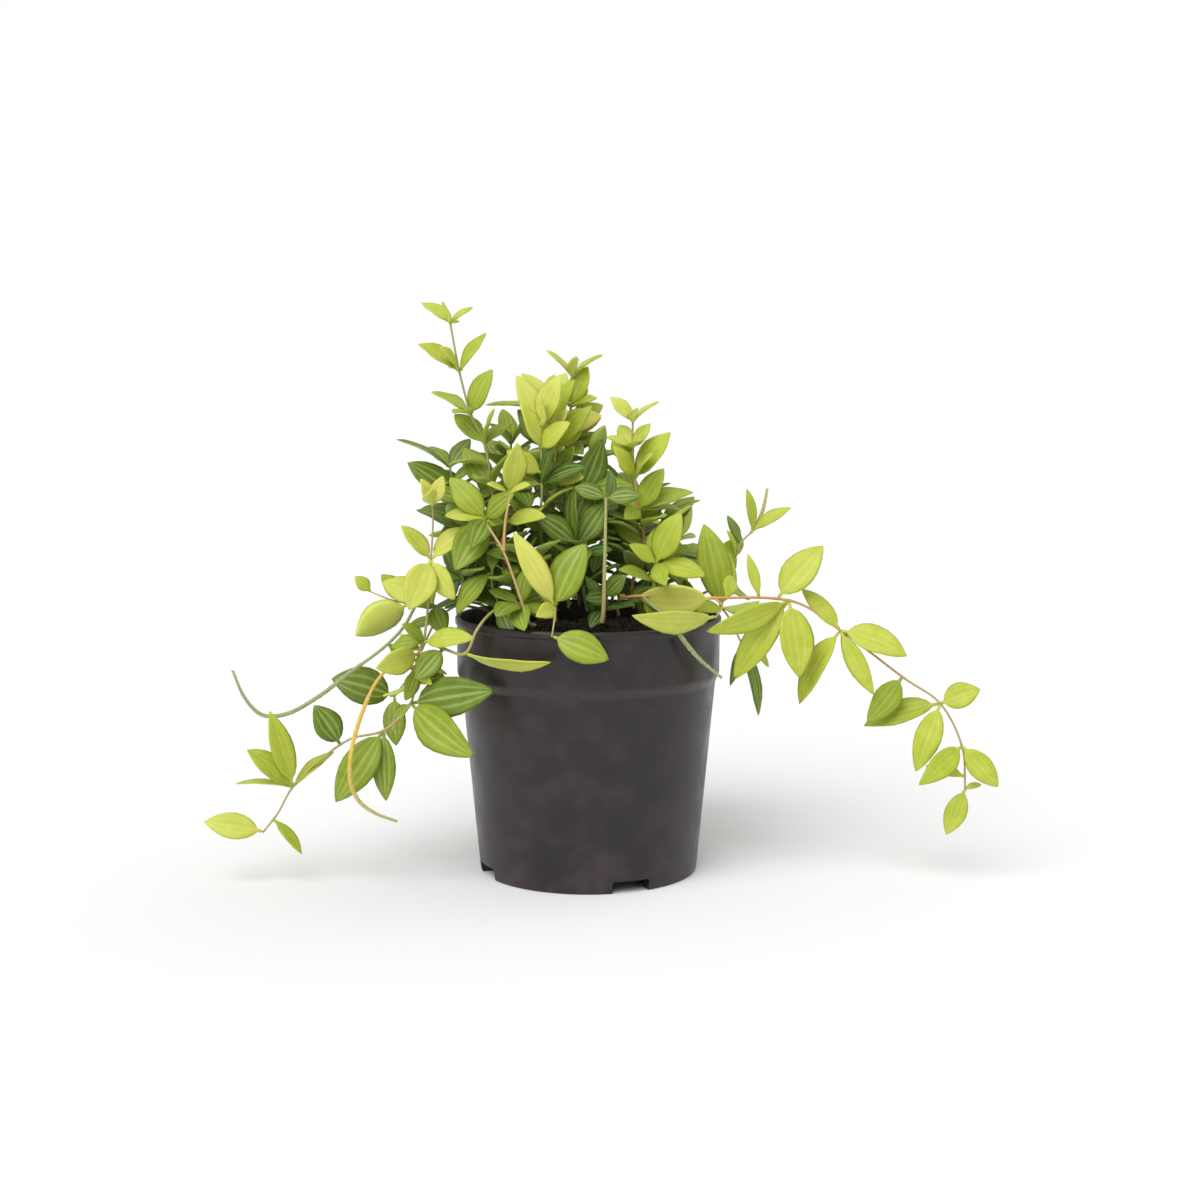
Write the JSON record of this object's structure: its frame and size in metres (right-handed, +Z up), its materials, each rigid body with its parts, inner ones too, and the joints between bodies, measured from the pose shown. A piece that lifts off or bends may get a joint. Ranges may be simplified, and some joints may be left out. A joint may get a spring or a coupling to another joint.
{
  "type": "potted trailing peperomia",
  "caption": "Trailing beetle peperomia in a plain dark nursery pot: upright and hanging stems with whorls of small pointed fleshy leaves and slender flower spikes.",
  "frame": {"origin": "centre of the flat pad under the pot, on the surface that the pot stands on", "axes": "+Z up, -Y towards the front (the side that the picture shows), +X to the right as seen from the front, along the two trailing stems"},
  "size_m": [0.3528, 0.1753, 0.2573],
  "materials": {
    "pot": "satin",
    "soil": "matte",
    "foliage_young": "satin",
    "foliage_fresh": "satin",
    "foliage_middling": "satin",
    "foliage_mature": "satin"
  },
  "bodies": {
    "root": {"pot": "pot", "soil": "soil", "shoot_trailing_right": "foliage_young", "shoot_trailing_left": "foliage_middling", "shoot_tall_left": "foliage_fresh", "shoot_left_middle": "foliage_fresh", "shoot_centre_low": "foliage_mature", "shoot_centre_bright": "foliage_young", "shoot_left_back": "foliage_mature", "shoot_centre_top": "foliage_young", "shoot_centre_back": "foliage_fresh", "shoot_right_middle": "foliage_fresh", "shoot_right_near": "foliage_fresh", "shoot_right_back": "foliage_fresh", "shoot_right_low": "foliage_fresh", "shoot_front": "foliage_fresh", "shoot_front_left": "foliage_middling", "shoot_left_outer": "foliage_young", "shoot_left_hanging": "foliage_mature", "shoot_inner_left": "foliage_mature", "shoot_inner_centre": "foliage_mature", "shoot_inner_back": "foliage_mature", "shoot_inner_right": "foliage_mature", "shoot_back_middle": "foliage_middling", "shoot_back_left": "foliage_middling", "shoot_back_right": "foliage_middling", "shoot_trailing_back": "foliage_fresh", "shoot_trailing_back_right": "foliage_fresh", "shoot_left_near": "foliage_middling", "shoot_inner_front": "foliage_mature"}
  },
  "joints": []
}
